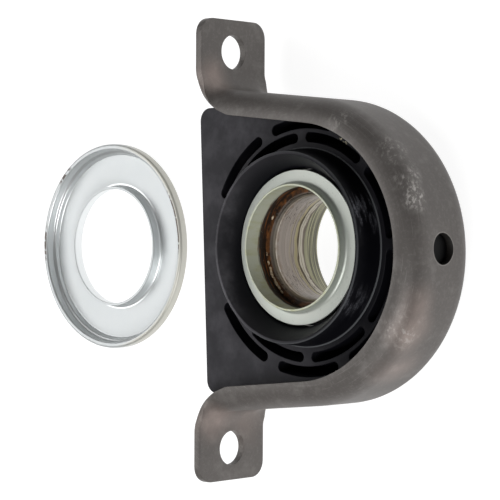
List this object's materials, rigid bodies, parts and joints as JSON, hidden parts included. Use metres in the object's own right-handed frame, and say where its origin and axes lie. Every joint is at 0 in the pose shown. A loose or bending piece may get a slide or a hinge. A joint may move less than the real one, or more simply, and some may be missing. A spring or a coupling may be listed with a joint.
{
  "type": "driveshaft centre bearing",
  "caption": "Ball bearing in a slotted rubber cushion held by a U-shaped steel strap with bolting feet, with pressed dust shields and a loose slinger beside it.",
  "frame": {"origin": "centre of the inner ring's bore, on the bearing's middle plane", "axes": "+Z along the shaft axis towards the front face, +Y towards the face that the feet bolt to, +X along the line of the two bolts"},
  "size_m": [0.2556, 0.3393, 0.0674],
  "materials": {
    "strap_steel": "dark oiled",
    "cushion_rubber": "satin, dusty",
    "bearing_steel": "ground",
    "inner_ring_steel": "turned, oiled and lightly rusted",
    "cage_steel": "pressed",
    "ball_steel": "polished",
    "seal_rubber": "satin",
    "shield_zinc": "zinc, pale yellow-green passivated",
    "slinger_zinc": "bright zinc"
  },
  "bodies": {
    "housing": {"bracket": "strap_steel", "rubber_insert": "cushion_rubber", "retaining_sleeve": "bearing_steel", "outer_ring": "bearing_steel", "front_seal": "seal_rubber", "back_seal": "seal_rubber", "loose_slinger": "slinger_zinc"},
    "inner_race": {"inner_ring": "inner_ring_steel", "front_shield": "shield_zinc", "back_shield": "shield_zinc"},
    "cage": {"cage_front": "cage_steel", "cage_back": "cage_steel", "cage_rivets": "cage_steel"},
    "ball_01": {"ball_01": "ball_steel"},
    "ball_02": {"ball_02": "ball_steel"},
    "ball_03": {"ball_03": "ball_steel"},
    "ball_04": {"ball_04": "ball_steel"},
    "ball_05": {"ball_05": "ball_steel"},
    "ball_06": {"ball_06": "ball_steel"},
    "ball_07": {"ball_07": "ball_steel"},
    "ball_08": {"ball_08": "ball_steel"},
    "ball_09": {"ball_09": "ball_steel"},
    "ball_10": {"ball_10": "ball_steel"},
    "ball_11": {"ball_11": "ball_steel"},
    "ball_12": {"ball_12": "ball_steel"},
    "ball_13": {"ball_13": "ball_steel"}
  },
  "joints": [
    {"name": "inner_spin", "type": "hinge", "parent": "housing", "child": "inner_race", "pos_m": [0, 0, 0], "axis": [0, 0, 1], "continuous": true},
    {"name": "cage_spin", "type": "hinge", "parent": "housing", "child": "cage", "pos_m": [0, 0, 0], "axis": [0, 0, 1], "continuous": true},
    {"name": "ball_01_spin", "type": "hinge", "parent": "cage", "child": "ball_01", "pos_m": [0.03625, 0, 0], "axis": [0, 0, 1], "continuous": true},
    {"name": "ball_02_spin", "type": "hinge", "parent": "cage", "child": "ball_02", "pos_m": [0.0321, 0.01685, 0], "axis": [0, 0, 1], "continuous": true},
    {"name": "ball_03_spin", "type": "hinge", "parent": "cage", "child": "ball_03", "pos_m": [0.02059, 0.02983, 0], "axis": [0, 0, 1], "continuous": true},
    {"name": "ball_04_spin", "type": "hinge", "parent": "cage", "child": "ball_04", "pos_m": [0.00437, 0.03599, 0], "axis": [0, 0, 1], "continuous": true},
    {"name": "ball_05_spin", "type": "hinge", "parent": "cage", "child": "ball_05", "pos_m": [-0.01285, 0.03389, 0], "axis": [0, 0, 1], "continuous": true},
    {"name": "ball_06_spin", "type": "hinge", "parent": "cage", "child": "ball_06", "pos_m": [-0.02713, 0.02404, 0], "axis": [0, 0, 1], "continuous": true},
    {"name": "ball_07_spin", "type": "hinge", "parent": "cage", "child": "ball_07", "pos_m": [-0.0352, 0.00868, 0], "axis": [0, 0, 1], "continuous": true},
    {"name": "ball_08_spin", "type": "hinge", "parent": "cage", "child": "ball_08", "pos_m": [-0.0352, -0.00868, 0], "axis": [0, 0, 1], "continuous": true},
    {"name": "ball_09_spin", "type": "hinge", "parent": "cage", "child": "ball_09", "pos_m": [-0.02713, -0.02404, 0], "axis": [0, 0, 1], "continuous": true},
    {"name": "ball_10_spin", "type": "hinge", "parent": "cage", "child": "ball_10", "pos_m": [-0.01285, -0.03389, 0], "axis": [0, 0, 1], "continuous": true},
    {"name": "ball_11_spin", "type": "hinge", "parent": "cage", "child": "ball_11", "pos_m": [0.00437, -0.03599, 0], "axis": [0, 0, 1], "continuous": true},
    {"name": "ball_12_spin", "type": "hinge", "parent": "cage", "child": "ball_12", "pos_m": [0.02059, -0.02983, 0], "axis": [0, 0, 1], "continuous": true},
    {"name": "ball_13_spin", "type": "hinge", "parent": "cage", "child": "ball_13", "pos_m": [0.0321, -0.01685, 0], "axis": [0, 0, 1], "continuous": true}
  ],
  "couplings": [
    {"joint": "cage_spin", "follows": "inner_spin", "ratio": 0.42414},
    {"joint": "ball_01_spin", "follows": "inner_spin", "ratio": -3.2196},
    {"joint": "ball_02_spin", "follows": "inner_spin", "ratio": -3.2196},
    {"joint": "ball_03_spin", "follows": "inner_spin", "ratio": -3.2196},
    {"joint": "ball_04_spin", "follows": "inner_spin", "ratio": -3.2196},
    {"joint": "ball_05_spin", "follows": "inner_spin", "ratio": -3.2196},
    {"joint": "ball_06_spin", "follows": "inner_spin", "ratio": -3.2196},
    {"joint": "ball_07_spin", "follows": "inner_spin", "ratio": -3.2196},
    {"joint": "ball_08_spin", "follows": "inner_spin", "ratio": -3.2196},
    {"joint": "ball_09_spin", "follows": "inner_spin", "ratio": -3.2196},
    {"joint": "ball_10_spin", "follows": "inner_spin", "ratio": -3.2196},
    {"joint": "ball_11_spin", "follows": "inner_spin", "ratio": -3.2196},
    {"joint": "ball_12_spin", "follows": "inner_spin", "ratio": -3.2196},
    {"joint": "ball_13_spin", "follows": "inner_spin", "ratio": -3.2196}
  ]
}
